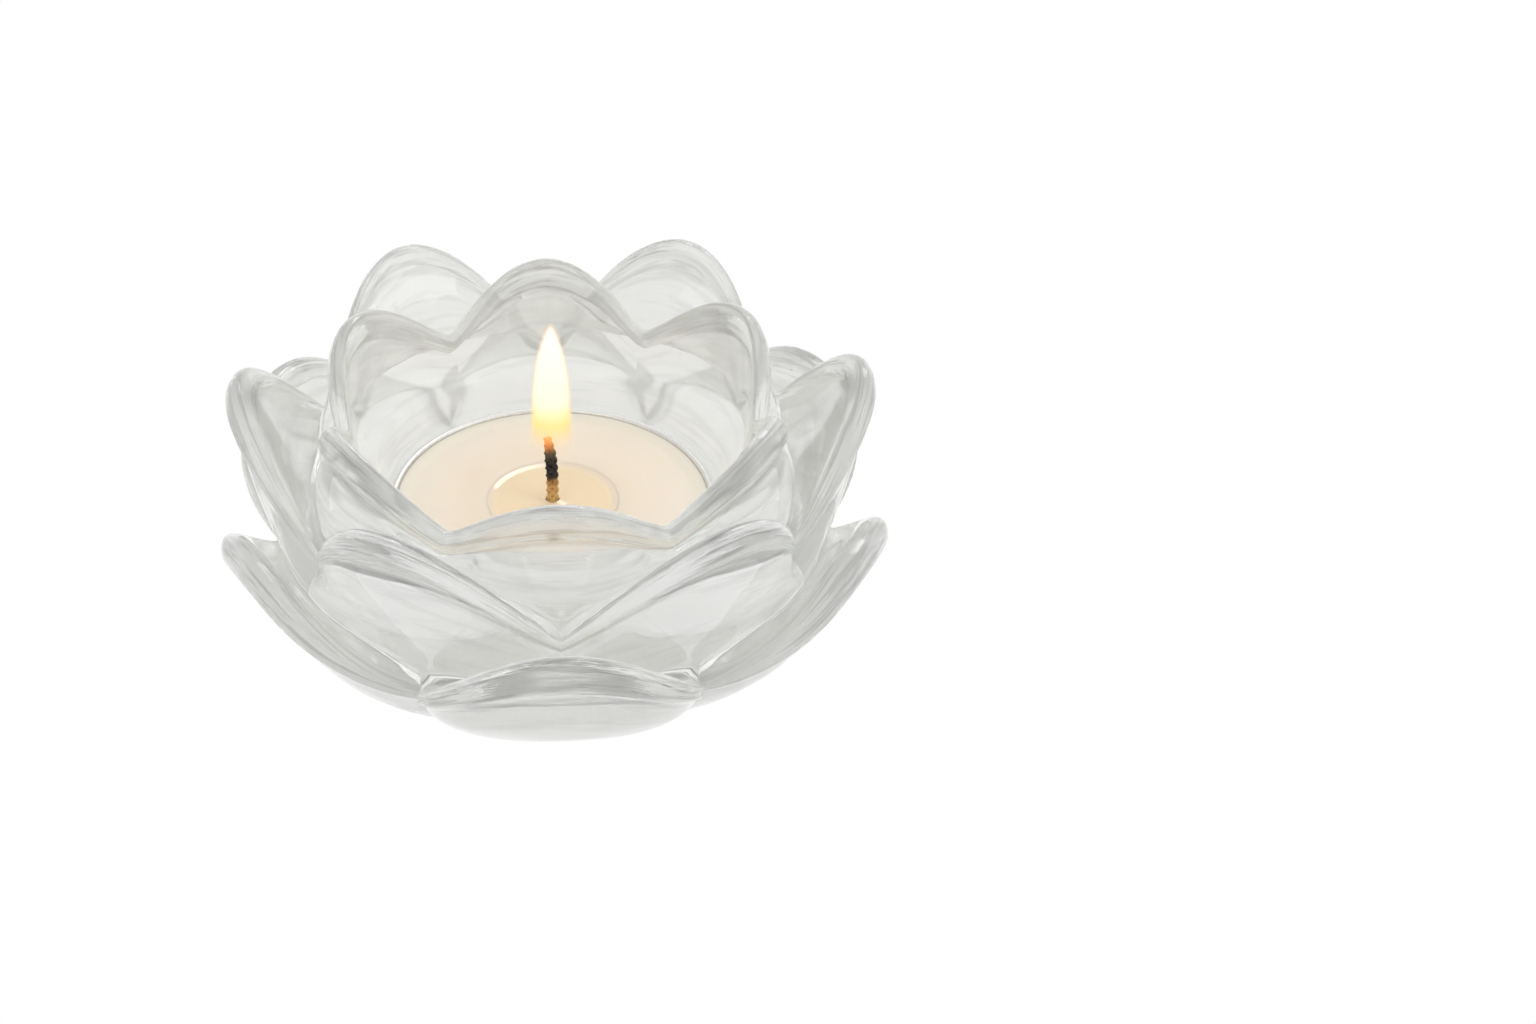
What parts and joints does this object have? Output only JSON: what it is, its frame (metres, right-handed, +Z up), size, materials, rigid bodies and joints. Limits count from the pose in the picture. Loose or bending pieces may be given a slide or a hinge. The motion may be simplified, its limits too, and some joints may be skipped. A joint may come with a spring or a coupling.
{
  "type": "tealight holder",
  "caption": "Clear pressed-glass lotus bowl with three rings of petals around a round well that holds a lit tealight in a metal cup.",
  "frame": {"origin": "centre of the foot, on the surface that the bowl stands on", "axes": "+Z up through the wick; -Y is the front, where a lowest petal has its tip; +X to the right"},
  "size_m": [0.096, 0.1016, 0.0462],
  "materials": {
    "clear_glass": "gloss",
    "cup_aluminium": "satin",
    "candle_wax": "satin",
    "molten_wax": "gloss",
    "wick_cotton": "matte",
    "tinned_steel": "satin"
  },
  "bodies": {
    "bowl": {"lotus_bowl": "clear_glass"},
    "cup": {"tealight_cup": "cup_aluminium"},
    "candle": {"wax": "candle_wax", "melt_pool": "molten_wax", "wick": "wick_cotton", "wick_plate": "tinned_steel"}
  },
  "joints": [
    {"name": "tealight_lift", "type": "slide", "parent": "bowl", "child": "cup", "axis": [0, 0, 1], "range_m": [0, 0.05]},
    {"name": "candle_lift", "type": "slide", "parent": "cup", "child": "candle", "axis": [0, 0, 1], "range_m": [0, 0.025]}
  ]
}
